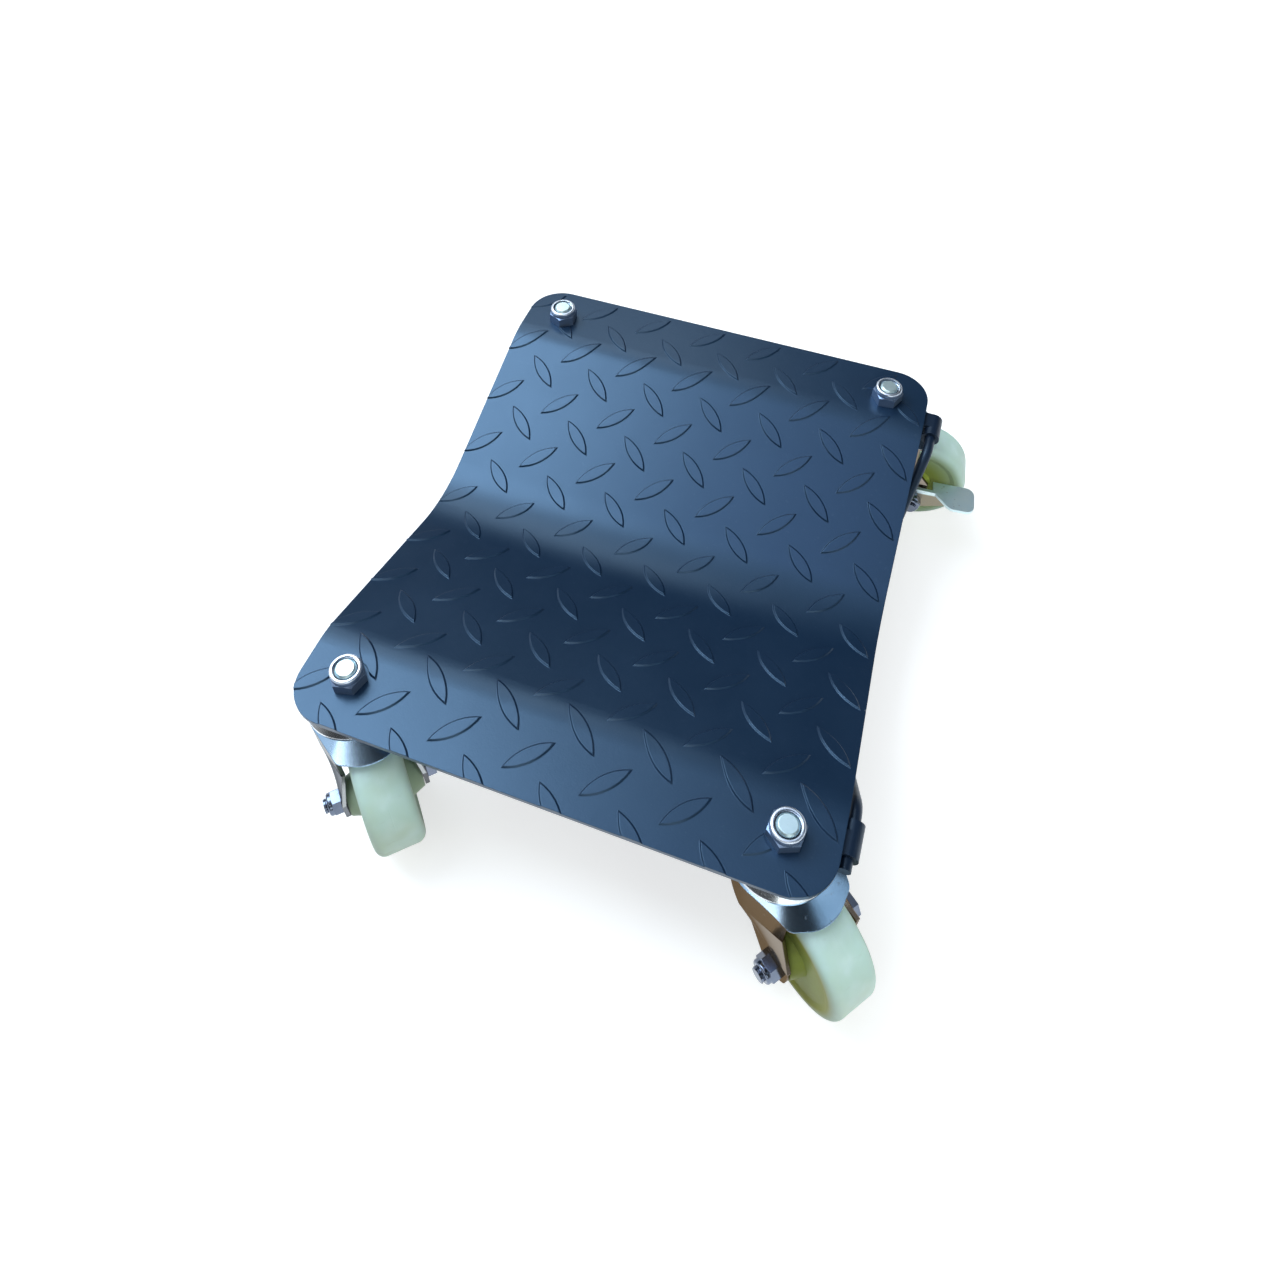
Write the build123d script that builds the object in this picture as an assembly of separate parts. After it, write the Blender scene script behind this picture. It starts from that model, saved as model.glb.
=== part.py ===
"""Car moving dolly: a bent checker-plate tyre cradle on four swivel casters, with a bail handle.

Millimetres, +Z up. The origin is on the floor under the middle of the deck. X runs across the
deck, with the handle on the +X side, and Y runs to the rear.
"""

import os
from math import acos, atan2, cos, degrees, radians, sin, sqrt

from build123d import *

# Deck sheet and its bends, measured on the top surface
deck_width = 300.0
sheet_thickness = 3.0
ledge_length = 42.0
slope_length = 102.0
slope_angle = 18.3
upper_bend_radius = 51.0
valley_radius = 87.0
corner_radius = 24.0

# Raised tread bars, laid on the flat sheet before it is bent
tread_pitch = 42.5
tread_shift_x = -12.5
tread_shift_y = 3.6
bar_length = 31.0
bar_width = 8.6
bar_height = 0.9
bar_root = 0.4
bar_flank = 0.9
bar_edge_margin = 4.0

# Caster places and the way each one points at rest, in degrees from +X
stem_inset_x = 28.0
stem_inset_y = 28.0
swivel_at_rest = {"front_left": -46.5, "front_right": -38.0, "rear_left": -24.0, "rear_right": 5.0}
braked_casters = ("rear_left", "rear_right")

# Wheel
wheel_radius = 37.5
wheel_width = 28.5
wheel_corner = 5.5
trail = 31.0
hub_radius = 10.5
hub_width = 42.0
rim_inner_radius = 30.0
web_thickness = 26.0
web_corner = 3.0

# Running fits and small gaps
running_clearance = 0.06
fit_clearance = 0.05
side_clearance = 0.5
moving_gap = 0.3

# Stem, king pin and its hexagon collar
stem_radius = 6.0
stem_projection = 0.5
stem_chamfer = 1.2
stem_hole_clearance = 0.4
collar_height = 7.5
collar_across_flats = 19.0
pin_head_radius = 9.0
pin_head_height = 3.0

# Race cap, balls and lower race
cap_radius = 27.5
cap_sheet = 2.5
cap_shoulder = 4.0
cap_gap = 0.5
ball_radius = 2.5
ball_count = 12
ball_circle_radius = 14.0
ball_clearance = 0.1
race_gap = 4.0
lower_race_radius = 13.0
lower_race_height = 3.0

# Stamped fork
fork_sheet = 2.5
wheel_top_clearance = 10.5
crown_radius = 27.5
crown_depth = 9.0
hood_start = 20.0
hood_front = 39.0
hood_lip_x = 33.0
hood_lip_half = 15.5
hood_corner_x = 28.0
hood_corner_y = 14.5
hood_corner_radius = 5.5
cheek_back_turn = 109.0
cheek_skirt = 19.0
cheek_bend_rise = 11.0
boss_radius = 10.0

# Axle
axle_radius = 4.0
axle_hole_clearance = 0.2
axle_head_height = 5.3
axle_flats = 13.0
axle_tip = 2.0
sleeve_radius = 6.0
axle_nut_hex = 5.5
axle_nut_collar = 2.5

# Stem nuts and their locking rings
nut_flats = 18.0
nut_hex_height = 7.5
nut_collar_height = 4.2
nut_collar_radius = 8.9
nut_collar_round = 1.2
ring_wall = 1.1
ring_height = 2.4
nut_seat_clearance = 0.4

# Side brake lever on the rear casters
cam_washer_height = 1.5
cam_radius = 10.0
lever_sheet = 2.5
lever_reach = 22.0
lever_rise = 8.0
lever_end_radius = 6.0
tongue_wheel_gap = 3.5
tongue_start = 14.0
tongue_length = 28.8
tongue_width = 21.5
tongue_slant_run = 12.0
tongue_slant_drop = 13.0
tongue_corner = 6.0

# Bail handle and its strap brackets
rod_radius = 3.5
strap_sheet = 2.5
strap_width = 18.0
strap_tab = 13.0
strap_overhang = 6.0
strap_margin = 0.5
bail_offset = 6.5
bail_stub = 3.5
bail_shift = -2.5
bail_elbow_gap = 10.7
bail_slant_run = 42.0
bail_under_gap = 0.9
bail_tuck_angle = 14.0
handle_skew = -0.65
bail_bend_radius = 16.0

# Levels and places that follow from the sizes above
axle_z = wheel_radius
crown_under_z = 2 * wheel_radius + wheel_top_clearance
crown_top_z = crown_under_z + fork_sheet
cap_under_z = crown_top_z + race_gap
cap_top_z = cap_under_z + cap_sheet
ledge_under_z = cap_top_z + collar_height
ledge_top_z = ledge_under_z + sheet_thickness
ball_z = (cap_under_z + crown_top_z) / 2
lower_race_top_z = crown_under_z - moving_gap
pin_head_top_z = lower_race_top_z - lower_race_height
hood_lip_z = crown_top_z - crown_depth
cheek_skirt_z = hood_lip_z - cheek_skirt
cheek_bend_z = axle_z + cheek_bend_rise
bend_run = (upper_bend_radius + valley_radius) * sin(radians(slope_angle))
bend_drop = (upper_bend_radius + valley_radius) * (1 - cos(radians(slope_angle)))
half_length = ledge_length + bend_run + slope_length * cos(radians(slope_angle))
half_developed = (
    ledge_length + slope_length + (upper_bend_radius + valley_radius) * radians(slope_angle)
)
cheek_inside = hub_width / 2 + side_clearance
cheek_outside = cheek_inside + fork_sheet
stem_x = deck_width / 2 - stem_inset_x
stem_y = half_length - stem_inset_y
stem_places = {
    "front_left": (-stem_x, -stem_y),
    "front_right": (stem_x, -stem_y),
    "rear_left": (-stem_x, stem_y),
    "rear_right": (stem_x, stem_y),
}
strap_outer_radius = rod_radius + running_clearance + strap_sheet
strap_tab_start = half_length - ledge_length + strap_margin
strap_middle = strap_tab_start - strap_overhang + strap_width / 2
bail_axis_x = deck_width / 2 + bail_offset
bail_axis_z = ledge_under_z - strap_outer_radius
valley_under_z = ledge_under_z - bend_drop - slope_length * sin(radians(slope_angle))
bail_elbow = strap_middle - strap_width / 2 - bail_elbow_gap
bail_grip_half = bail_elbow - bail_slant_run
bail_grip_z = valley_under_z - bail_under_gap - rod_radius
bail_drop = (bail_axis_z - bail_grip_z) / cos(radians(bail_tuck_angle))


def plate_along_y(profile, y_low, y_high):
    """Sheet between two Y planes from a profile drawn in X and Z."""
    return extrude(Plane.XZ.offset(-y_high) * profile, amount=y_high - y_low)


def hex_prism(across_flats, height):
    return extrude(RegularPolygon(across_flats / 2, 6, major_radius=False), amount=height)


def spin(points):
    """Solid of revolution about Z from radius and height points."""
    return revolve(Plane.XZ * make_face(Polyline(*points, close=True)), Axis.Z)


def turned_to_y(shape, x, y, z):
    """A solid made about Z, turned so that its +Z end points to -Y, and placed."""
    return Pos(x, y, z) * Rot(90, 0, 0) * shape


# Deck
def deck_surface(depth):
    """Edges, front to rear in Y and Z, of the surface that lies a depth under the deck's top."""
    ledge_front = Line((-half_length, ledge_top_z - depth), (ledge_length - half_length, ledge_top_z - depth))
    bend_front = JernArc(ledge_front @ 1, ledge_front % 1, upper_bend_radius - depth, -slope_angle)
    slope_front = Line(bend_front @ 1, (bend_front @ 1) + (bend_front % 1) * slope_length)
    valley = JernArc(slope_front @ 1, slope_front % 1, valley_radius + depth, 2 * slope_angle)
    slope_rear = Line(valley @ 1, (valley @ 1) + (valley % 1) * slope_length)
    bend_rear = JernArc(slope_rear @ 1, slope_rear % 1, upper_bend_radius - depth, -slope_angle)
    ledge_rear = Line(bend_rear @ 1, (bend_rear @ 1) + (bend_rear % 1) * ledge_length)
    return [ledge_front, bend_front, slope_front, valley, slope_rear, bend_rear, ledge_rear]


def bent_sheet(upper_depth, lower_depth):
    """Sheet across the whole deck between two depths under its top surface."""
    upper = deck_surface(upper_depth)
    lower = deck_surface(lower_depth)
    front_end = Line(upper[0] @ 0, lower[0] @ 0)
    rear_end = Line(upper[-1] @ 1, lower[-1] @ 1)
    section = make_face([*upper, rear_end, *lower, front_end])
    return extrude(Plane.YZ * section, amount=deck_width / 2, both=True)


def lens(inset):
    """Pointed oval of a bar's foot, drawn in from its edge by an inset."""
    tip = bar_length / 2
    side = bar_width / 2
    arc_radius = (tip**2 + side**2) / (2 * side)
    inner_side = side - inset
    inner_tip = sqrt((arc_radius - inset) ** 2 - (arc_radius - side) ** 2)
    return make_face(
        [
            ThreePointArc((-inner_tip, 0), (0, inner_side), (inner_tip, 0)),
            ThreePointArc((inner_tip, 0), (0, -inner_side), (-inner_tip, 0)),
        ]
    )


def tread_bars(outline):
    """Bars with sloping flanks in two crossed rows, bent with the sheet, cut at its edges and nut seats."""
    shell = bent_sheet(-bar_height, bar_root)
    centre_line = Plane.YZ * Wire(deck_surface(0))
    reach = sheet_thickness / 2
    blank = loft(
        [
            Pos(0, 0, -reach) * lens(-reach * bar_flank),
            Pos(0, 0, reach) * lens(reach * bar_flank),
        ],
        ruled=True,
    )
    nut_seat = Cylinder(nut_flats / sqrt(3) + nut_seat_clearance, 4 * bar_height)
    columns = int(deck_width / tread_pitch) + 2
    rows = int(2 * half_developed / tread_pitch) + 2
    bars = []
    for half_step, lean in ((0.0, 45), (0.5, -45)):
        for column in range(-columns, columns + 1):
            for row in range(-rows, rows + 1):
                x = (column + half_step) * tread_pitch + tread_shift_x
                along = (row + half_step) * tread_pitch + tread_shift_y
                if abs(x) > deck_width / 2 + bar_edge_margin:
                    continue
                if abs(along) > half_developed + bar_edge_margin:
                    continue
                travel = min(max(half_developed + along, 0), 2 * half_developed)
                middle = centre_line.position_at(travel, position_mode=PositionMode.LENGTH)
                tangent = centre_line.tangent_at(travel, position_mode=PositionMode.LENGTH)
                seat = Plane(Vector(x, middle.Y, middle.Z), x_dir=(1, 0, 0), z_dir=(0, -tangent.Z, tangent.Y))
                bar = seat.location * Rot(0, 0, lean) * blank & shell
                edge_distance = min(deck_width / 2 - abs(x), half_developed - abs(along))
                if edge_distance < corner_radius:
                    bar = bar & outline
                    if not bar:
                        continue
                for stem_at_x, stem_at_y in stem_places.values():
                    if abs(stem_at_x - x) < bar_length and abs(stem_at_y - middle.Y) < bar_length:
                        bar = bar - Pos(stem_at_x, stem_at_y, ledge_top_z) * nut_seat
                bars += bar.solids()
    return bars


def make_deck():
    outline = extrude(
        RectangleRounded(deck_width, 2 * half_length, corner_radius), amount=ledge_top_z + sheet_thickness
    )
    plate = bent_sheet(0, sheet_thickness) & outline
    hole = Cylinder(stem_radius + stem_hole_clearance, 4 * sheet_thickness)
    for x, y in stem_places.values():
        plate = plate - Pos(x, y, ledge_top_z) * hole
    return plate + tread_bars(outline)


# Stem and swivel
def make_stem():
    """Threaded stem, hexagon collar and king pin in one piece, with its head under the fork."""
    top = ledge_top_z + nut_hex_height + nut_collar_height + stem_projection
    foot = pin_head_top_z - pin_head_height
    shaft = spin(
        [
            (0, foot),
            (pin_head_radius - stem_chamfer, foot),
            (pin_head_radius, foot + stem_chamfer),
            (pin_head_radius, pin_head_top_z),
            (stem_radius, pin_head_top_z),
            (stem_radius, top - stem_chamfer),
            (stem_radius - stem_chamfer, top),
            (0, top),
        ]
    )
    return shaft + Pos(0, 0, cap_top_z) * hex_prism(collar_across_flats, collar_height)


def ball_groove():
    return Pos(0, 0, ball_z) * Torus(ball_circle_radius, ball_radius + ball_clearance)


def make_race_cap():
    """Pressed dish whose rolled lip hangs over the fork's crown."""
    lip_z = crown_top_z + cap_gap
    bore = stem_radius + fit_clearance
    cap = spin(
        [
            (bore, cap_under_z),
            (bore, cap_top_z),
            (cap_radius - cap_shoulder, cap_top_z),
            (cap_radius, cap_top_z - cap_shoulder),
            (cap_radius, lip_z),
            (cap_radius - cap_sheet, lip_z),
            (cap_radius - cap_sheet, cap_under_z - cap_shoulder + cap_sheet),
            (cap_radius - cap_shoulder - cap_sheet / 2, cap_under_z),
        ]
    )
    return cap - ball_groove()


def make_lower_race():
    bore = stem_radius + fit_clearance
    return spin(
        [
            (bore, pin_head_top_z),
            (lower_race_radius, pin_head_top_z),
            (lower_race_radius, lower_race_top_z),
            (bore, lower_race_top_z),
        ]
    )


def make_balls():
    ring = []
    for number in range(ball_count):
        angle = 360 * number / ball_count
        ring.append(Rot(0, 0, angle) * Pos(ball_circle_radius, 0, ball_z) * Sphere(ball_radius))
    return ring


# Fork
def crown_plan(inset):
    """Round crown drawn out forward to the hood's curved lip and round corners, less an inset."""
    lip = ThreePointArc((hood_lip_x, -hood_lip_half), (hood_front, 0), (hood_lip_x, hood_lip_half))
    edges = [*Circle(crown_radius).edges(), lip]
    for side in (-1, 1):
        edges += (Pos(hood_corner_x, side * hood_corner_y) * Circle(hood_corner_radius)).edges()
    plan = make_hull(edges)
    if inset:
        plan = offset(plan, amount=-inset, kind=Kind.INTERSECTION)
    return plan


def crown_block(inset):
    """Bell-shaped crown and hood, or the hollow inside them when an inset is given."""
    top = crown_top_z - inset
    block = extrude(Pos(0, 0, hood_lip_z) * crown_plan(inset), amount=crown_depth - inset)
    steepness = crown_depth / (hood_front - hood_start)
    bell_start = hood_start - inset * (sqrt(1 + steepness**2) - 1) / steepness
    bell = spin(
        [
            (0, hood_lip_z),
            (bell_start + (top - hood_lip_z) / steepness, hood_lip_z),
            (bell_start, top),
            (0, top),
        ]
    )
    return block & bell


def crown_edge():
    """Strip of sheet along the crown's edge, from the hood's corner back to where the cheek ends."""
    corner = Vector(hood_corner_x, hood_corner_y)
    side_turn = degrees(atan2(hood_corner_y, hood_corner_x))
    side_turn += degrees(acos((crown_radius - hood_corner_radius) / corner.length))
    outward = Vector(1, 0).rotate(Axis.Z, side_turn)
    front_outer = corner + outward * hood_corner_radius
    front_inner = front_outer - outward * fork_sheet
    outer_round = CenterArc((0, 0), crown_radius, side_turn, cheek_back_turn - side_turn)
    inner_round = CenterArc((0, 0), crown_radius - fork_sheet, side_turn, cheek_back_turn - side_turn)
    return make_face(
        [
            Line(front_outer, outer_round @ 0),
            outer_round,
            Line(outer_round @ 1, inner_round @ 1),
            inner_round,
            Line(inner_round @ 0, front_inner),
            Line(front_inner, front_outer),
        ]
    )


def make_cheek():
    """Side of the fork: it hangs from the crown, leans in to a flat part, and narrows to the axle."""
    strip = crown_edge()
    back = crown_radius * cos(radians(cheek_back_turn))
    front = trail + boss_radius
    middle = (back + front) / 2
    bend_line = make_face(
        Polyline(
            (front, cheek_outside),
            (middle, cheek_outside),
            (back, cheek_outside),
            (back, cheek_inside),
            (middle, cheek_inside),
            (front, cheek_inside),
            close=True,
        )
    )
    skirt = extrude(Pos(0, 0, cheek_skirt_z) * strip, amount=cheek_skirt)
    lean = loft([Pos(0, 0, cheek_bend_z) * bend_line, Pos(0, 0, cheek_skirt_z) * strip], ruled=True)
    flat_height = cheek_bend_rise + boss_radius
    flat = extrude(Pos(0, 0, cheek_bend_z - flat_height) * bend_line, amount=flat_height)
    boss = Pos(trail, axle_z) * Circle(boss_radius)
    side_view = make_hull([Line((back, hood_lip_z), (front, hood_lip_z)), *boss.edges()])
    side_view = side_view - Pos(trail, axle_z) * Circle(axle_radius + axle_hole_clearance)
    return (skirt + lean + flat) & plate_along_y(side_view, 0, crown_radius + fork_sheet)


def make_fork():
    fork = crown_block(0) - crown_block(fork_sheet)
    cheek = make_cheek()
    fork = fork + cheek + mirror(cheek, about=Plane.XZ)
    fork = fork - Pos(0, 0, crown_top_z) * Cylinder(stem_radius + running_clearance, 3 * fork_sheet)
    return fork - ball_groove()


# Wheel and axle
def make_wheel():
    bore = sleeve_radius + running_clearance
    hub = hub_width / 2
    rim = wheel_width / 2
    web = web_thickness / 2
    section = make_face(
        Polyline(
            (bore, -hub),
            (hub_radius, -hub),
            (hub_radius + web_corner, -web),
            (rim_inner_radius - web_corner, -web),
            (rim_inner_radius, -rim),
            (wheel_radius, -rim),
            (wheel_radius, rim),
            (rim_inner_radius, rim),
            (rim_inner_radius - web_corner, web),
            (hub_radius + web_corner, web),
            (hub_radius, hub),
            (bore, hub),
            close=True,
        )
    )
    tread_corners = section.vertices().group_by(Axis.X)[-1]
    section = fillet(tread_corners, wheel_corner)
    return turned_to_y(revolve(Plane.XZ * section, Axis.Z), trail, 0, axle_z)


def make_axle_sleeve():
    ring = Circle(sleeve_radius) - Circle(axle_radius + axle_hole_clearance)
    return turned_to_y(extrude(ring, amount=2 * cheek_inside), trail, cheek_inside, axle_z)


def nut_face(braked):
    """Distance from the wheel's middle to the seat of the axle nut."""
    if braked:
        return cheek_outside + cam_washer_height + lever_sheet + 2 * moving_gap
    return cheek_outside


def make_axle_bolt(braked):
    grip = cheek_outside + nut_face(braked)
    reach = grip + axle_nut_hex + axle_nut_collar + axle_tip
    bolt = Pos(0, 0, -axle_head_height) * hex_prism(axle_flats, axle_head_height)
    bolt = bolt + extrude(Circle(axle_radius), amount=reach)
    return turned_to_y(bolt, trail, cheek_outside, axle_z)


def locking_nut(across_flats, hex_height, collar_height, collar_radius, collar_round, bore):
    """Hexagon nut with chamfered corners and a rounded collar on top."""
    corner = across_flats / sqrt(3)
    chamfer = corner - across_flats / 2
    body = hex_prism(across_flats, hex_height)
    envelope = spin(
        [
            (0, 0),
            (corner, 0),
            (corner, hex_height - chamfer / 2),
            (corner - chamfer, hex_height),
            (0, hex_height),
        ]
    )
    collar = extrude(Pos(0, 0, hex_height) * Circle(collar_radius), amount=collar_height)
    collar = fillet(collar.edges().sort_by(Axis.Z)[-1], collar_round)
    nut = (body & envelope) + collar
    return nut - Cylinder(bore, 4 * (hex_height + collar_height))


def make_axle_nut(braked):
    nut = locking_nut(
        axle_flats,
        axle_nut_hex,
        axle_nut_collar,
        axle_flats / 2 - fit_clearance,
        axle_nut_collar / 2,
        axle_radius + fit_clearance,
    )
    return turned_to_y(nut, trail, -nut_face(braked), axle_z)


# Stem nuts
def ring_radius():
    return stem_radius + fit_clearance + ring_wall


def make_stem_nut():
    nut = locking_nut(
        nut_flats,
        nut_hex_height,
        nut_collar_height,
        nut_collar_radius,
        nut_collar_round,
        stem_radius + fit_clearance,
    )
    recess = Pos(0, 0, nut_hex_height) * extrude(Circle(ring_radius()), amount=nut_collar_height + 1)
    return Pos(0, 0, ledge_top_z) * (nut - recess)


def make_locking_ring():
    ring = Circle(ring_radius() - fit_clearance) - Circle(stem_radius + fit_clearance)
    return Pos(0, 0, ledge_top_z + nut_hex_height) * extrude(ring, amount=ring_height)


# Side brake
def make_cam_washer():
    ring = Circle(cam_radius) - Circle(axle_radius + axle_hole_clearance)
    return turned_to_y(extrude(ring, amount=cam_washer_height), trail, -cheek_outside, axle_z)


def make_brake_lever():
    """Arm on the axle outside the cheek, bent flat at its end into a foot tongue beside the wheel."""
    inner_y = cheek_outside + cam_washer_height + moving_gap
    end = Pos(trail + lever_reach, axle_z + lever_rise - lever_end_radius + lever_sheet / 2)
    hub = Pos(trail, axle_z) * Circle(cam_radius)
    arm = make_hull((hub + end * Circle(lever_end_radius)).edges())
    arm = arm - Pos(trail, axle_z) * Circle(axle_radius + running_clearance)
    lever = plate_along_y(arm, -inner_y - lever_sheet, -inner_y)
    left = trail + tongue_start
    right = left + tongue_length
    upper = -wheel_width / 2 - tongue_wheel_gap
    lower = upper - tongue_width
    tongue = make_face(
        Polyline(
            (left, upper),
            (right, upper),
            (right, lower),
            (left + tongue_slant_run, lower),
            (left, lower + tongue_slant_drop),
            close=True,
        )
    )
    round_ends = tongue.vertices().group_by(Axis.X)[-1] + tongue.vertices().group_by(Axis.Y)[0]
    tongue = fillet(ShapeList(set(round_ends)), tongue_corner)
    return lever + Pos(0, 0, axle_z + lever_rise - lever_sheet / 2) * extrude(tongue, amount=lever_sheet)


# Handle
def make_bracket(side):
    """Strap bent round the rod, with a tab under the deck's ledge, at the front (-1) or the rear (1)."""
    loop = Pos(bail_axis_x, bail_axis_z) * Circle(strap_outer_radius)
    bore = Pos(bail_axis_x, bail_axis_z) * Circle(rod_radius + running_clearance)
    tab_length = strap_tab + bail_offset
    tab_middle_z = ledge_under_z - strap_sheet / 2
    tab = Pos(bail_axis_x - tab_length / 2, tab_middle_z) * Rectangle(tab_length, strap_sheet)
    far_end = strap_middle + strap_width / 2
    strap = plate_along_y(loop - bore, far_end - strap_width, far_end)
    strap = strap + plate_along_y(tab - loop, strap_tab_start, far_end)
    if side < 0:
        strap = mirror(strap, about=Plane.XZ)
    return strap


def make_bail():
    """Round rod bent to a shallow U, tucked in under the deck's edge."""
    tuck = radians(bail_tuck_angle)

    def on_bail(y, drop):
        return (bail_axis_x - drop * sin(tuck), y + bail_shift, bail_axis_z - drop * cos(tuck))

    end = strap_middle + strap_width / 2 + bail_stub
    half = [(end, 0), (bail_elbow, 0), (bail_grip_half, bail_drop)]
    points = [on_bail(y, drop) for y, drop in half]
    points += [on_bail(-y, drop) for y, drop in reversed(half)]
    path = FilletPolyline(*points, radius=bail_bend_radius)
    section = Plane(points[0], z_dir=(0, -1, 0)) * Circle(rod_radius)
    return sweep(section, path=path)


def handle_place():
    """Small turn of the whole handle about its rear bracket."""
    return Pos(bail_axis_x, strap_middle, 0) * Rot(0, 0, handle_skew) * Pos(-bail_axis_x, -strap_middle, 0)


# Assembly
def caster_place(name):
    x, y = stem_places[name]
    return Pos(x, y, 0) * Rot(0, 0, swivel_at_rest[name])


def all_casters(shapes):
    """One copy of each shape at every caster, as separate solids in a single node."""
    return Compound(children=[caster_place(name) * shape for name in stem_places for shape in shapes])


def make_nodes():
    nodes = {
        "deck_plate": make_deck(),
        "stem_nuts": all_casters([make_stem_nut()]),
        "nut_locking_rings": all_casters([make_locking_ring()]),
        "swivel_balls": all_casters(make_balls()),
        "handle_bracket_front": handle_place() * make_bracket(-1),
        "handle_bracket_rear": handle_place() * make_bracket(1),
        "handle_bail": handle_place() * make_bail(),
    }
    fork = make_fork()
    wheel = make_wheel()
    for name in stem_places:
        braked = name in braked_casters
        pieces = {
            "stem": make_stem(),
            "race_cap": make_race_cap(),
            "lower_race": make_lower_race(),
            "fork": fork,
            "wheel": wheel,
            "axle_sleeve": make_axle_sleeve(),
            "axle_bolt": make_axle_bolt(braked),
            "axle_nut": make_axle_nut(braked),
        }
        if braked:
            pieces["cam_washer"] = make_cam_washer()
            pieces["brake_lever"] = make_brake_lever()
        for piece, shape in pieces.items():
            nodes[f"{name}_{piece}"] = caster_place(name) * shape
    return nodes


os.makedirs("parts", exist_ok=True)
for node, shape in make_nodes().items():
    export_step(shape, f"parts/{node}.step")
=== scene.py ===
from math import cos, radians, sin

import bpy
from mathutils import Euler, Matrix, Vector


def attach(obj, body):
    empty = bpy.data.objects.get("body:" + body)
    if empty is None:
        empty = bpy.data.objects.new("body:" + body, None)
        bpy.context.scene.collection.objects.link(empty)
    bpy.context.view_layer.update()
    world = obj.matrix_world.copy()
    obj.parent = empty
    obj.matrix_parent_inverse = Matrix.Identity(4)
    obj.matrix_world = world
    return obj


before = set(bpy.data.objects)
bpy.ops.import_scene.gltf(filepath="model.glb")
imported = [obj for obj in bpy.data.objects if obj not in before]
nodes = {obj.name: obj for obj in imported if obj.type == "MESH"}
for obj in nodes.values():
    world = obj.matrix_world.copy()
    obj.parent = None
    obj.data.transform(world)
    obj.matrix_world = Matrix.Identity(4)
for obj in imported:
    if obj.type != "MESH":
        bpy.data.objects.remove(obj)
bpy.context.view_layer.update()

# Casters: where each stem stands on the deck, and the way each wheel trails at rest, in degrees
stem_x = 0.122
stem_y = 0.15417
wheel_trail = 0.031
axle_height = 0.0375
hood_lip_height = 0.0790
casters = {
    "front_left": (-stem_x, -stem_y, -46.5),
    "front_right": (stem_x, -stem_y, -38),
    "rear_left": (-stem_x, stem_y, -24),
    "rear_right": (stem_x, stem_y, 5),
}


def caster_places(name):
    """The foot of a caster's stem, the middle of its wheel, and the way it trails."""
    x, y, trail_turn = casters[name]
    angle = radians(trail_turn)
    hub = (x + wheel_trail * cos(angle), y + wheel_trail * sin(angle), axle_height)
    return (x, y, 0.0), hub, angle


class Shade:
    """One output of a finish's nodes. Arithmetic on it adds Math nodes to that finish."""

    def __init__(self, finish, socket):
        self.finish = finish
        self.socket = socket

    def math(self, operation, first, second=0.0):
        made = self.finish.node("ShaderNodeMath", {"operation": operation}, {0: first, 1: second})
        return made["Value"]

    def __add__(self, other):
        return self.math("ADD", self, other)

    def __sub__(self, other):
        return self.math("SUBTRACT", self, other)

    def __rsub__(self, other):
        return self.math("SUBTRACT", other, self)

    def __mul__(self, other):
        return self.math("MULTIPLY", self, other)

    def __pow__(self, other):
        return self.math("POWER", self, other)

    __radd__ = __add__
    __rmul__ = __mul__

    def most(self, other):
        return self.math("MAXIMUM", self, other)

    def size(self):
        return self.math("ABSOLUTE", self)

    def sign(self):
        return self.math("SIGN", self)

    def step(self, low, high):
        """Rises smoothly from 0 at low to 1 at high."""
        made = self.finish.node(
            "ShaderNodeMapRange",
            {"interpolation_type": "SMOOTHSTEP"},
            {"Value": self, "From Min": low, "From Max": high, "To Min": 0.0, "To Max": 1.0},
        )
        return made["Result"]


class Outputs:
    """The outputs of one node, by name or number."""

    def __init__(self, finish, made):
        self.finish = finish
        self.made = made

    def __getitem__(self, key):
        return Shade(self.finish, self.made.outputs[key])


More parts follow.
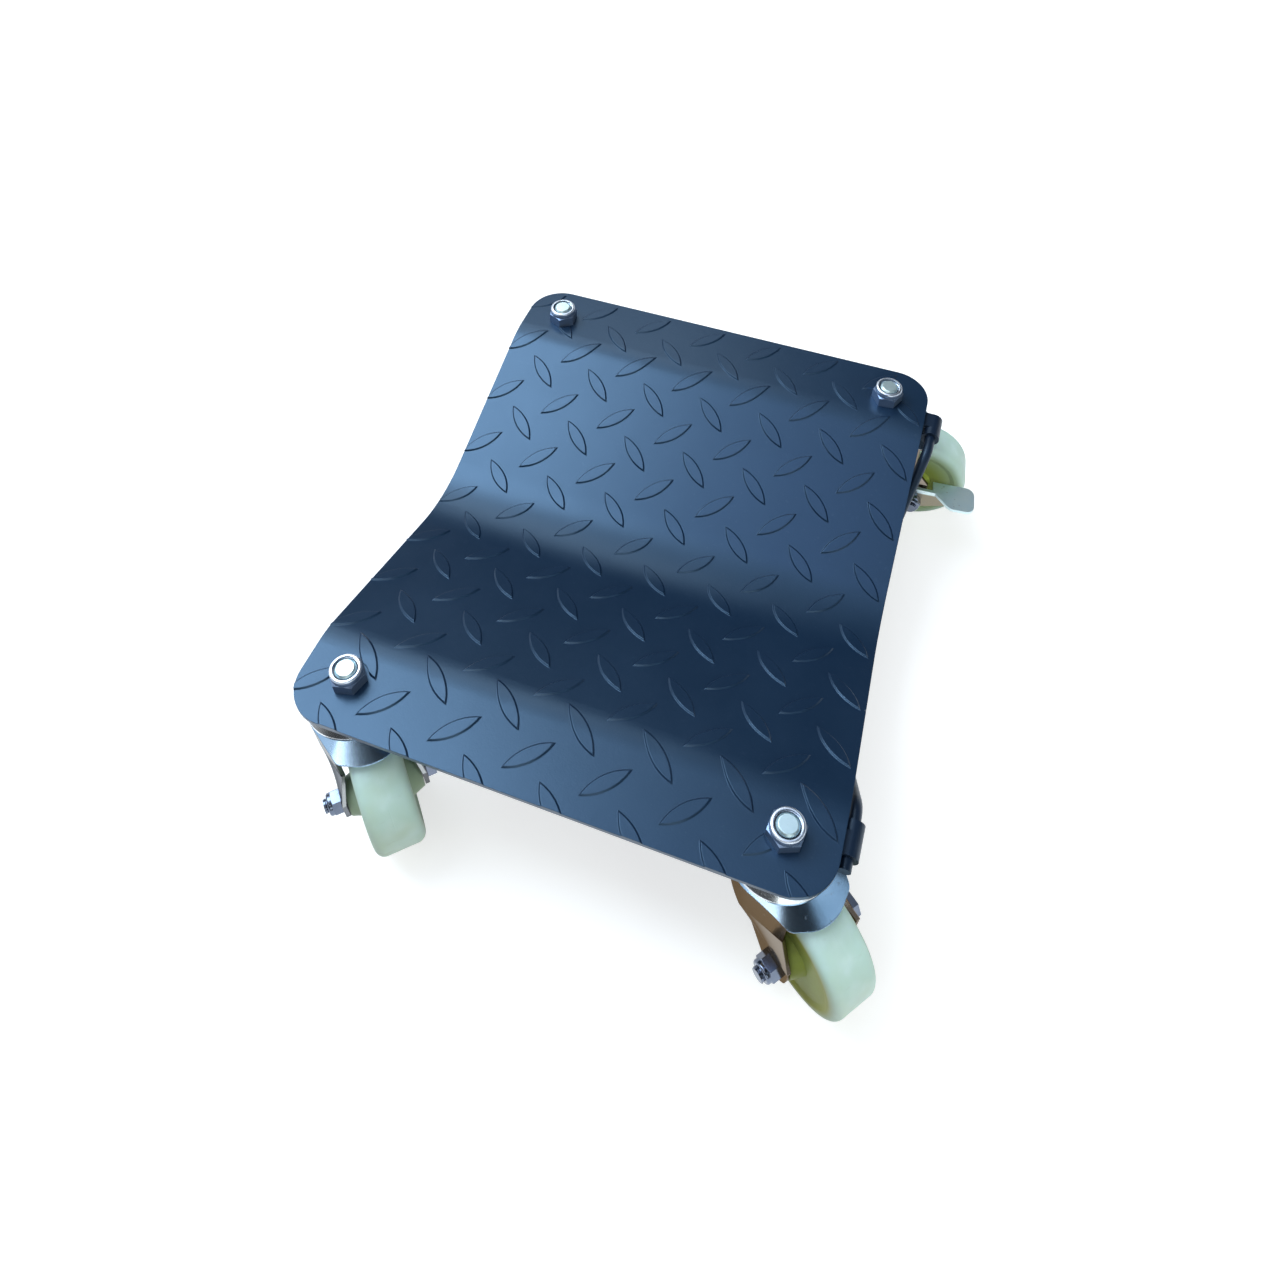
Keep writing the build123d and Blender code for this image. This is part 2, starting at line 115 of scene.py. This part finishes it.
class Finish:
    """A procedural material: one Principled shader and the nodes that feed it."""

    def __init__(self, name):
        self.material = bpy.data.materials.new(name)
        self.material.use_nodes = True
        self.tree = self.material.node_tree
        self.shader = self.tree.nodes["Principled BSDF"]

    def put(self, socket, value):
        """Links a socket to a node's output, or sets it to a number or colour."""
        if isinstance(value, Shade):
            self.tree.links.new(value.socket, socket)
        elif isinstance(value, (tuple, list)) and len(value) == 3 and socket.type == "RGBA":
            socket.default_value = (*value, 1.0)
        else:
            socket.default_value = value

    def node(self, kind, settings=None, inputs=None):
        """Adds one node: its settings come first, then the values or links of its sockets."""
        made = self.tree.nodes.new(kind)
        for key, value in (settings or {}).items():
            if key == "stops":
                self.set_stops(made.color_ramp, value)
            else:
                setattr(made, key, value)
        for key, value in (inputs or {}).items():
            self.put(made.inputs[key], value)
        return Outputs(self, made)

    def set_stops(self, ramp, stops):
        """Stops from 0 to 1, each with its colour."""
        for place, _ in stops[1:-1]:
            ramp.elements.new(place)
        for element, (_, colour) in zip(ramp.elements, stops):
            element.color = (*colour, 1.0)

    def place(self):
        return self.node("ShaderNodeTexCoord")["Object"]

    def facing(self):
        return self.node("ShaderNodeTexCoord")["Normal"]

    def turned(self, vector, turn):
        """A vector turned back about the upright axis."""
        return self.node(
            "ShaderNodeVectorRotate", {"rotation_type": "Z_AXIS"}, {"Vector": vector, "Angle": -turn}
        )["Vector"]

    def turned_place(self, centre, turn):
        """Object coordinates about a centre, turned back about the upright axis."""
        shifted = self.node(
            "ShaderNodeVectorMath", {"operation": "SUBTRACT"}, {0: self.place(), 1: centre}
        )["Vector"]
        return self.turned(shifted, turn)

    def parts(self, vector):
        made = self.node("ShaderNodeSeparateXYZ", None, {"Vector": vector})
        return made["X"], made["Y"], made["Z"]

    def noise(self, vector, scale, detail=3.0, roughness=0.5):
        return self.node(
            "ShaderNodeTexNoise",
            None,
            {"Vector": vector, "Scale": scale, "Detail": detail, "Roughness": roughness},
        )["Fac"]

    def stretched(self, vector, stretch):
        return self.node("ShaderNodeMapping", None, {"Vector": vector, "Scale": stretch})["Vector"]

    def blend(self, share, first, second):
        """From the first colour to the second, by a share from 0 to 1."""
        made = self.node("ShaderNodeMix", {"data_type": "RGBA"}, {"Factor": share, 6: first, 7: second})
        return made[2]

    def relief(self, height, strength, distance, normal=None):
        inputs = {"Height": height, "Strength": strength, "Distance": distance}
        if normal is not None:
            inputs["Normal"] = normal
        return self.node("ShaderNodeBump", None, inputs)["Normal"]

    def soft_edges(self, radius):
        return self.node("ShaderNodeBevel", {"samples": 6}, {"Radius": radius})["Normal"]

    def set(self, **values):
        """Feeds the shader's sockets that change over the surface."""
        for key, value in values.items():
            self.put(self.shader.inputs[key.replace("_", " ").title()], value)

    def fix(self, socket, value):
        """Sets a shader's socket that is the same all over the surface."""
        self.put(self.shader.inputs[socket], value)


class Surround(Finish):
    """The world's nodes, written as a finish's are."""

    def __init__(self, name):
        self.world = bpy.data.worlds.new(name)
        self.world.use_nodes = True
        self.tree = self.world.node_tree
        self.shader = self.tree.nodes["Background"]


def deck_coat():
    """Satin powder coat on checker plate: orange peel, smears, dust, chips at the sheet's edges, and a
    painted blue cast on its sheen.
    """
    # The blacks lean to navy, part of the painted blue cast of the sheen
    deep_black = (0.0040, 0.0145, 0.036)
    soft_black = (0.0058, 0.0178, 0.042)
    dust = (0.024, 0.042, 0.075)
    bare_steel = (0.40, 0.44, 0.50)
    side_wear = (0.1475, 0.1495)
    end_wear = (0.1795, 0.1817)
    coat = Finish("deck_coat")
    place = coat.place()
    x, y, _ = coat.parts(place)
    cloud = coat.noise(place, scale=9.0, detail=4.0, roughness=0.6)
    smear = coat.noise(coat.stretched(place, (1.0, 0.4, 1.0)), scale=55.0, detail=4.0, roughness=0.65)
    grain = coat.noise(place, scale=420.0, detail=2.0)
    peel = coat.noise(place, scale=900.0, detail=2.0)
    chips = coat.noise(place, scale=190.0, detail=4.0, roughness=0.7).step(0.70, 0.74)
    worn = chips * x.size().step(*side_wear).most(y.size().step(*end_wear))
    black = coat.blend(cloud.step(0.35, 0.7), deep_black, soft_black)
    dusty = coat.blend(grain.step(0.62, 0.78) * 0.25, black, dust)
    coat.set(
        base_color=coat.blend(worn, dusty, bare_steel),
        metallic=worn * 0.9,
        roughness=0.245 + cloud * 0.08 + smear * 0.07 - worn * 0.05,
        normal=coat.relief(peel, strength=0.10, distance=0.0004, normal=coat.soft_edges(0.00045)),
    )
    coat.fix("Specular IOR Level", 0.9)
    # Painted reflection colour: the blue tint on the coat's reflections stands in for the blue cast of the
    # room's light
    coat.fix("Specular Tint", (0.42, 0.68, 1.0))
    return coat.material


def handle_coat():
    """Satin powder coat on rod and strap: orange peel, rubbed streaks along the rod, and a painted blue cast
    on its sheen.
    """
    # The black leans to navy, part of the painted blue cast of the sheen
    black = (0.005, 0.012, 0.028)
    rubbed = (0.024, 0.036, 0.060)
    coat = Finish("handle_coat")
    place = coat.place()
    cloud = coat.noise(place, scale=40.0)
    peel = coat.noise(place, scale=1100.0, detail=2.0)
    rub = coat.noise(coat.stretched(place, (1.0, 0.12, 1.0)), scale=300.0).step(0.6, 0.75)
    coat.set(
        base_color=coat.blend(rub * 0.3, black, rubbed),
        roughness=0.34 + cloud * 0.14,
        normal=coat.relief(peel, strength=0.10, distance=0.0003, normal=coat.soft_edges(0.0004)),
    )
    # Painted reflection colour: the blue tint on the coat's reflections stands in for the blue cast of the
    # room's light
    coat.fix("Specular Tint", (0.55, 0.76, 1.0))
    return coat.material


def low_share(top):
    """Picks the part of a plate below a height."""
    border = 0.0015
    return lambda plate: 1.0 - plate.parts(plate.place())[2].step(top - border, top)


def cheek_reflection_share(stem, turn):
    """Picks where a fork gets its painted reflection: its faces that look out sideways, and all that hangs
    below its hood.
    """
    below_lip = 0.0005

    def share(plate):
        side = plate.parts(plate.turned_place(stem, turn))[1]
        facing = plate.parts(plate.turned(plate.facing(), turn))[1]
        below_hood = low_share(hood_lip_height - below_lip)(plate)
        return (facing * side.sign()).step(0.45, 0.75).most(below_hood)

    return share


def plated(
    name, bright, shaded, roughness, edge, tint=None, share=None, painted_glance_tint=None, marks=1.0, dull=0.0
):
    """Zinc plate with faint clouding, drawing lines and dull spots; its tint on a share and at a glance is
    painted reflection.
    """
    spot_grey = (0.36, 0.35, 0.33)
    plate = Finish(name)
    place = plate.place()
    cloud = plate.noise(place, scale=38.0, detail=4.0, roughness=0.6)
    lines = plate.noise(plate.stretched(place, (1.0, 1.0, 0.06)), scale=900.0, detail=2.0)
    spots = plate.noise(place, scale=330.0, detail=2.0).step(0.66, 0.74)
    tone = plate.blend(cloud.step(0.3, 0.7), bright, shaded)
    metallic = 1.0
    # Painted reflection: the share of the plate that takes the tint, made less metallic by dull
    if share:
        painted_reflection = share(plate)
        tone = plate.blend(painted_reflection, tone, tint)
        metallic = 1.0 - painted_reflection * dull
    plate.set(
        base_color=plate.blend(spots * (0.35 * marks), tone, spot_grey),
        metallic=metallic,
        roughness=roughness + cloud * 0.08 + lines * (0.05 * marks) + spots * (0.12 * marks),
        normal=plate.relief(lines, strength=0.05 * marks, distance=0.0002, normal=plate.soft_edges(edge)),
    )
    # Painted reflection: the tint of the plate's glancing reflections
    if painted_glance_tint:
        plate.fix("Specular Tint", painted_glance_tint)
    return plate.material


def wheel_nylon(name, centre, turn, rim, core, tread_ageing):
    """Natural nylon: pale tread, side faces aged and darkened with painted shade, a moulding line and scuffs
    round the tread.
    """
    pale_green = (0.55, 0.75, 0.71)
    pale_blue = (0.66, 0.84, 0.84)
    yellowed = (0.47, 0.60, 0.45)
    scuffed = (0.42, 0.46, 0.42)
    side_starts = (0.0085, 0.0135)
    side_ends = (0.0295, 0.0368)
    core_ends = (0.016, 0.034)
    tread_starts = (0.036, 0.0373)
    seam_half = 0.0004
    nylon = Finish(name)
    place = nylon.turned_place(centre, turn)
    x, y, z = nylon.parts(place)
    radius = (x * x + z * z) ** 0.5
    cloud = nylon.noise(place, scale=45.0)
    fine = nylon.noise(place, scale=500.0)
    worn = nylon.noise(nylon.stretched(place, (1.0, 0.35, 1.0)), scale=170.0, detail=4.0, roughness=0.6)
    scuffs = worn.step(0.60, 0.74)
    aged = nylon.noise(place, scale=30.0, detail=2.0).step(0.46, 0.66)
    on_side = y.size().step(*side_starts) * (1.0 - radius.step(*side_ends))
    fresh = nylon.blend(cloud.step(0.35, 0.65), pale_green, pale_blue)
    tread = nylon.blend((0.35 + aged * 0.65) * tread_ageing, fresh, yellowed)
    # Side colours: partly yellowed nylon, partly painted shade
    side = nylon.blend(1.0 - radius.step(*core_ends), rim, core)
    tone = nylon.blend(on_side * (0.94 + cloud * 0.06), tread, side)
    seam = (1.0 - y.size().step(0.0, seam_half)) * radius.step(*tread_starts)
    nylon.set(
        base_color=nylon.blend(scuffs * 0.30, tone, scuffed),
        roughness=0.36 + fine * 0.12 + scuffs * 0.15,
        normal=nylon.relief(fine * 0.3 + seam, strength=0.18, distance=0.0004),
    )
    nylon.fix("Specular IOR Level", 0.15)
    nylon.fix("Subsurface Weight", 0.15)
    nylon.fix("Subsurface Radius", (0.9, 1.0, 0.5))
    nylon.fix("Subsurface Scale", 0.004)
    return nylon.material


def ring_nylon():
    """Dark locking rings, with the nut collar's crimped zinc lip over the outer part of each."""
    dark = (0.010, 0.016, 0.030)
    lighter = (0.020, 0.030, 0.046)
    lip_zinc = (0.78, 0.86, 0.98)
    lip_starts = (0.00675, 0.00690)
    nylon = Finish("locking_ring_nylon")
    place = nylon.place()
    x, y, _ = nylon.parts(place)
    across = x.size() - stem_x
    along = y.size() - stem_y
    lip = ((across * across + along * along) ** 0.5).step(*lip_starts)
    cloud = nylon.noise(place, scale=300.0)
    nylon.set(
        base_color=nylon.blend(lip, nylon.blend(cloud, dark, lighter), lip_zinc),
        metallic=lip,
        roughness=0.42 - lip * 0.12 + cloud * 0.10,
        normal=nylon.relief(cloud, strength=0.1, distance=0.0002),
    )
    return nylon.material


def dress(node, material):
    """Gives a CAD node its finish."""
    data = nodes[node].data
    data.materials.clear()
    data.materials.append(material)


# The nylon has aged unevenly, and shade is painted on the wheels' sides: colour of each wheel's sides near
# the tread, the same near the hub, and the share of ageing on its tread
wheel_ageing_and_shade = {
    "front_left": ((0.42, 0.55, 0.43), (0.38, 0.49, 0.36), 0.60),
    "front_right": ((0.29, 0.29, 0.03), (0.27, 0.32, 0.05), 0.35),
    "rear_left": ((0.40, 0.54, 0.34), (0.26, 0.32, 0.04), 0.40),
    "rear_right": ((0.40, 0.54, 0.34), (0.26, 0.32, 0.04), 0.25),
}
# Painted reflection on a fork's cheeks, seen square and seen at a glance: a brown cast of mirrored floor,
# grey on the front left
brown_cheek_reflection = ((0.26, 0.22, 0.182), (0.39, 0.32, 0.26))
grey_cheek_reflection = ((0.24, 0.25, 0.27), (0.36, 0.36, 0.36))
# Heights up to which the stem nuts and the brake levers have their darker tint, a painted reflection: of the
# dark deck on the nuts' hexes, of a brown floor on the levers' arms
nut_dark_reflection_top = 0.1146
lever_brown_reflection_top = 0.0445

cap_zinc = plated(
    "cap_zinc", bright=(0.84, 0.89, 0.93), shaded=(0.74, 0.79, 0.84), roughness=0.14, edge=0.0005
)
# The hexes below the collar are darkened: painted dark reflection of the deck
nut_zinc = plated(
    "nut_zinc", bright=(0.80, 0.88, 1.0), shaded=(0.74, 0.82, 0.94), roughness=0.28, edge=0.0004,
    tint=(0.17, 0.24, 0.37), share=low_share(nut_dark_reflection_top), marks=0.0, dull=0.25,
)
stem_zinc = plated(
    "stem_zinc", bright=(0.76, 0.92, 0.94), shaded=(0.58, 0.74, 0.78), roughness=0.32, edge=0.0005,
    marks=1.4,
)
axle_zinc = plated(
    "axle_zinc", bright=(0.19, 0.22, 0.29), shaded=(0.14, 0.17, 0.23), roughness=0.15, edge=0.0003,
    marks=0.2,
)
# The arms are tinted brown below a height, with a warm tint at a glance: painted brown floor reflection
lever_zinc = plated(
    "lever_zinc", bright=(0.84, 1.0, 1.0), shaded=(0.74, 0.94, 1.0), roughness=0.36, edge=0.0004,
    tint=(0.34, 0.31, 0.24), share=low_share(lever_brown_reflection_top), painted_glance_tint=(0.60, 0.56, 0.50),
)
race_steel = plated(
    "race_steel", bright=(0.52, 0.53, 0.55), shaded=(0.40, 0.40, 0.41), roughness=0.26, edge=0.0002
)
rod_black = handle_coat()
dress("deck_plate", deck_coat())
dress("stem_nuts", nut_zinc)
dress("nut_locking_rings", ring_nylon())
dress("swivel_balls", race_steel)
for node in ("handle_bracket_front", "handle_bracket_rear", "handle_bail"):
    dress(node, rod_black)
for name in casters:
    stem, hub, angle = caster_places(name)
    dress(f"{name}_wheel", wheel_nylon(f"{name}_nylon", hub, angle, *wheel_ageing_and_shade[name]))
    # Each fork's cheeks take a painted reflection tint, brown on three casters and grey on the front left
    cheek_reflection, cheek_glance_reflection = grey_cheek_reflection if name == "front_left" else brown_cheek_reflection
    fork_zinc = plated(
        f"{name}_fork_zinc", bright=(0.40, 0.57, 0.77), shaded=(0.33, 0.49, 0.68), roughness=0.12,
        edge=0.0006, tint=cheek_reflection, share=cheek_reflection_share(stem, angle), painted_glance_tint=cheek_glance_reflection,
    )
    dress(f"{name}_fork", fork_zinc)
    dress(f"{name}_race_cap", cap_zinc)
    dress(f"{name}_stem", stem_zinc)
    for piece in ("axle_bolt", "axle_nut"):
        dress(f"{name}_{piece}", axle_zinc)
    for piece in ("lower_race", "axle_sleeve"):
        dress(f"{name}_{piece}", race_steel)
    if name.startswith("rear"):
        dress(f"{name}_cam_washer", race_steel)
        dress(f"{name}_brake_lever", lever_zinc)


# Small pieces that the solids leave out: thread on the ends of the axle bolts
axle_nut_end = {"front": 0.0320, "rear": 0.0366}
bolt_radius = 0.0040
thread_pitch = 0.00125
thread_depth = 0.00035
thread_steps = 40
tooth_radius = thread_depth * 1.2
tooth_reach = bolt_radius - thread_depth * 0.2
thread_start = thread_pitch * 0.4
thread_rise = thread_pitch * 0.8
quarter_turn = radians(90)

# The weld beads round the handle brackets' tabs, which are turned a little with the handle
bracket_pivot = Vector((0.1565, 0.143672))
bracket_skew = radians(-0.65)
tab_inner_x = 0.1370
tab_outer_x = 0.1488
tab_near_y = 0.140672
tab_far_y = 0.152672
deck_underside = 0.1020
bead_radius = 0.0017
bead_sink = bead_radius * 0.35
bead_sides = 12
bead_ripples = 8
ripple_waist = 0.86


def start_piece():
    """Leaves nothing selected, so that the operators act on the new piece alone."""
    if bpy.context.mode != "OBJECT":
        bpy.ops.object.mode_set(mode="OBJECT")
    bpy.ops.object.select_all(action="DESELECT")


def finish_piece(name, material, body):
    """Applies a piece's place to its mesh, and gives it its finish and body."""
    piece = bpy.context.object
    piece.name = name
    bpy.ops.object.transform_apply(location=True, rotation=True, scale=True)
    piece.data.materials.clear()
    piece.data.materials.append(material)
    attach(piece, body)


def make_thread_end(name, hub, turn, nut_end):
    """One turn of thread on the end of an axle bolt, outside its nut."""
    start_piece()
    bpy.ops.mesh.primitive_circle_add(
        vertices=3, radius=tooth_radius, fill_type="NOTHING", location=(0, 0, 0)
    )
    tooth = bpy.context.object
    bpy.ops.object.mode_set(mode="EDIT")
    bpy.ops.mesh.select_all(action="SELECT")
    bpy.ops.transform.rotate(value=quarter_turn, orient_axis="X", center_override=(0, 0, 0))
    bpy.ops.transform.translate(value=(tooth_reach, 0, thread_start))
    bpy.ops.object.mode_set(mode="OBJECT")
    coil = tooth.modifiers.new("coil", "SCREW")
    coil.screw_offset = thread_rise
    coil.steps = thread_steps
    coil.render_steps = thread_steps
    bpy.ops.object.modifier_apply(modifier=coil.name)
    bpy.ops.object.mode_set(mode="EDIT")
    bpy.ops.mesh.select_all(action="SELECT")
    bpy.ops.mesh.fill_holes(sides=3)
    bpy.ops.mesh.select_all(action="SELECT")
    bpy.ops.mesh.normals_make_consistent(inside=False)
    bpy.ops.object.mode_set(mode="OBJECT")
    bpy.ops.object.shade_smooth_by_angle(angle=radians(40))
    tooth.rotation_euler = Euler((quarter_turn, 0, turn))
    outward = Vector((sin(turn), -cos(turn), 0))
    tooth.location = Vector(hub) + outward * nut_end
    finish_piece(f"{name}_axle_thread", axle_zinc, f"{name}_caster")


def make_weld_bead(name, start, end):
    """Run of weld between two points of a bracket tab's edge, laid in overlapping ripples."""
    run = Vector(end) - Vector(start)
    start_piece()
    bpy.ops.mesh.primitive_cylinder_add(
        vertices=bead_sides, radius=bead_radius, depth=run.length, end_fill_type="TRIFAN",
        location=(0, 0, 0),
    )
    bead = bpy.context.object
    bpy.ops.object.mode_set(mode="EDIT")
    for ring in range(1, 2 * bead_ripples):
        height = (ring / (2 * bead_ripples) - 0.5) * run.length
        bpy.ops.mesh.select_all(action="SELECT")
        bpy.ops.mesh.bisect(plane_co=(0, 0, height), plane_no=(0, 0, 1))
        if ring % 2 == 0:
            bpy.ops.transform.resize(
                value=(ripple_waist, ripple_waist, 1.0), center_override=(0, 0, height)
            )
    bpy.ops.object.mode_set(mode="OBJECT")
    soft = bead.modifiers.new("soft", "SUBSURF")
    soft.levels = 1
    soft.render_levels = 1
    bpy.ops.object.modifier_apply(modifier=soft.name)
    bpy.ops.object.shade_smooth()
    bead.rotation_euler = run.to_track_quat("Z", "Y").to_euler()
    bead.location = (Vector(start) + Vector(end)) / 2
    finish_piece(name, rod_black, "deck")


def on_bracket(x, y):
    """Point of a bracket on the deck's underside, turned with the handle."""
    arm = Vector((x, y)) - bracket_pivot
    turned = Matrix.Rotation(bracket_skew, 2) @ arm + bracket_pivot
    return (turned.x, turned.y, deck_underside - bead_sink)


for name in casters:
    _, hub, angle = caster_places(name)
    make_thread_end(name, hub, angle, axle_nut_end[name.split("_")[0]])
for end, side in (("front", -1), ("rear", 1)):
    corners = [
        on_bracket(tab_outer_x, side * tab_near_y),
        on_bracket(tab_inner_x, side * tab_near_y),
        on_bracket(tab_inner_x, side * tab_far_y),
        on_bracket(tab_outer_x, side * tab_far_y),
    ]
    for number, (start, stop) in enumerate(zip(corners, corners[1:])):
        make_weld_bead(f"handle_weld_{end}_{number}", start, stop)


def make_floor():
    """Pale floor: white to the eye and in mirrors, and brighter far off, with the object's shadow on it."""
    warm_bounce = (0.40, 0.36, 0.29)
    pale_grey = (0.62, 0.62, 0.62)
    near_glow = 0.62
    start_piece()
    bpy.ops.mesh.primitive_plane_add(size=30.0, location=(0, 0, 0))
    floor = bpy.context.object
    floor.name = "floor"
    pale = Finish("floor_pale")
    rays = pale.node("ShaderNodeLightPath")
    seen = rays["Is Camera Ray"].most(rays["Is Transmission Ray"]).most(rays["Is Glossy Ray"])
    x, y, _ = pale.parts(pale.place())
    far = ((x * x + y * y) ** 0.5).step(0.6, 3.0)
    glow = pale.blend(seen * (near_glow + far * (1.0 - near_glow)), (0.0, 0.0, 0.0), (1.0, 1.0, 1.0))
    pale.set(base_color=pale.blend(seen, warm_bounce, pale_grey), emission_color=glow)
    pale.fix("Roughness", 0.9)
    pale.fix("Emission Strength", 1.0)
    pale.fix("Specular IOR Level", 0.0)
    floor.data.materials.append(pale.material)


def make_world():
    """Soft surround: bright towards the big panel, dark on the right, with a white rim at the horizon."""
    panel_side = (-0.55, 0.06, 0.83)
    tint = (0.84, 0.92, 1.0)
    levels = (
        (0.0, 0.06), (0.30, 0.02), (0.72, 0.035), (0.77, 0.56), (0.83, 1.0), (0.92, 0.80), (1.0, 0.80),
    )
    mirrored_rim = 0.3
    studio = Surround("studio")
    bpy.context.scene.world = studio.world
    sky = studio.node("ShaderNodeTexCoord")["Generated"]
    facing = studio.node(
        "ShaderNodeVectorMath", {"operation": "DOT_PRODUCT"}, {0: sky, 1: panel_side}
    )["Value"]
    stops = [(place, tuple(level * share for share in tint)) for place, level in levels]
    glow = studio.node("ShaderNodeValToRGB", {"stops": stops}, {"Fac": facing})["Color"]
    rays = studio.node("ShaderNodeLightPath")
    seen = rays["Is Camera Ray"].most(rays["Is Transmission Ray"]).most(rays["Is Glossy Ray"] * mirrored_rim)
    rim = 1.0 - studio.parts(sky)[2].step(0.19, 0.27)
    studio.set(color=studio.blend(rim * seen, glow, (0.9, 0.9, 0.9)))
    studio.fix("Strength", 1.15)


def soft_lamp(name, place, aim, width, depth, power, colour, mirrored=True):
    """Soft box or card that lights towards a point."""
    lamp = bpy.data.lights.new(name, "AREA")
    lamp.shape = "RECTANGLE"
    lamp.size = width
    lamp.size_y = depth
    lamp.energy = power
    lamp.color = colour
    holder = bpy.data.objects.new(name, lamp)
    bpy.context.scene.collection.objects.link(holder)
    holder.location = place
    holder.visible_glossy = mirrored
    holder.rotation_euler = (Vector(aim) - Vector(place)).to_track_quat("-Z", "Y").to_euler()
    return holder


def light_only(lamp, piece):
    """Keeps a lamp's light to one piece, as a flag on a stand does."""
    lit = bpy.data.collections.new(f"{lamp.name}_lit")
    lit.objects.link(piece)
    lamp.light_linking.receiver_collection = lit


def make_lamps():
    """One big panel on the left, weak cards that the zinc and the coat mirror, and two low fills."""
    soft_lamp(
        "sky_panel", place=(-1.25, 0.20, 1.9), aim=(0.0, 0.0, 0.05),
        width=1.24, depth=1.6, power=44.2, colour=(0.76, 0.89, 1.0),
    )
    soft_lamp(
        "overhead_card", place=(-0.08, 0.06, 2.2), aim=(-0.08, 0.06, 0.1),
        width=0.75, depth=0.5, power=1.6, colour=(0.38, 0.50, 1.0),
    )
    deck_card = soft_lamp(
        "deck_card", place=(0.52, -1.00, 1.68), aim=(0.0, -0.05, 0.08),
        width=1.3, depth=0.8, power=6.0, colour=(1.0, 0.95, 0.88),
    )
    light_only(deck_card, nodes["deck_plate"])
    soft_lamp(
        "rear_card", place=(-0.78, 1.28, 1.72), aim=(0.0, 0.1, 0.1),
        width=1.3, depth=0.60, power=5.5, colour=(0.94, 0.95, 0.92),
    )
    soft_lamp(
        "side_card", place=(1.75, -0.15, 1.55), aim=(0.1, -0.1, 0.08),
        width=1.3, depth=0.6, power=2.1, colour=(0.72, 0.88, 1.0),
    )
    soft_lamp(
        "front_strip", place=(-0.03, -1.42, 1.82), aim=(0.02, -0.18, 0.08),
        width=1.3, depth=0.34, power=4.4, colour=(1.0, 0.98, 0.95),
    )
    soft_lamp(
        "right_fill", place=(1.55, -0.35, 0.70), aim=(0.1, 0.05, 0.04),
        width=0.8, depth=0.6, power=10.5, colour=(0.94, 1.0, 0.92), mirrored=False,
    )
    soft_lamp(
        "front_fill", place=(1.05, -1.60, 0.85), aim=(0.0, 0.0, 0.05),
        width=1.3, depth=0.6, power=5.5, colour=(0.95, 1.0, 0.97),
    )


def make_camera():
    """Camera at the photo's station: above the front right, tilted down, with a slight roll."""
    station = (0.1112, -0.3531, 0.6183)
    azimuth = 0.3268
    elevation = 0.7699
    roll = 0.0110
    focal_pixels = 998.8
    picture_pixels = 1280
    axis_row = 343
    camera = bpy.data.cameras.new("photo_camera")
    camera.sensor_width = 36.0
    camera.lens = focal_pixels / picture_pixels * camera.sensor_width
    camera.shift_y = (axis_row - picture_pixels / 2) / picture_pixels
    camera.clip_start = 0.01
    holder = bpy.data.objects.new("photo_camera", camera)
    bpy.context.scene.collection.objects.link(holder)
    aim = Euler((quarter_turn - elevation, 0, azimuth)).to_matrix()
    holder.rotation_euler = (aim @ Matrix.Rotation(roll, 3, "Z")).to_euler()
    holder.location = station
    bpy.context.scene.camera = holder


make_floor()
make_world()
make_lamps()
make_camera()
bpy.context.scene.view_settings.view_transform = "Standard"
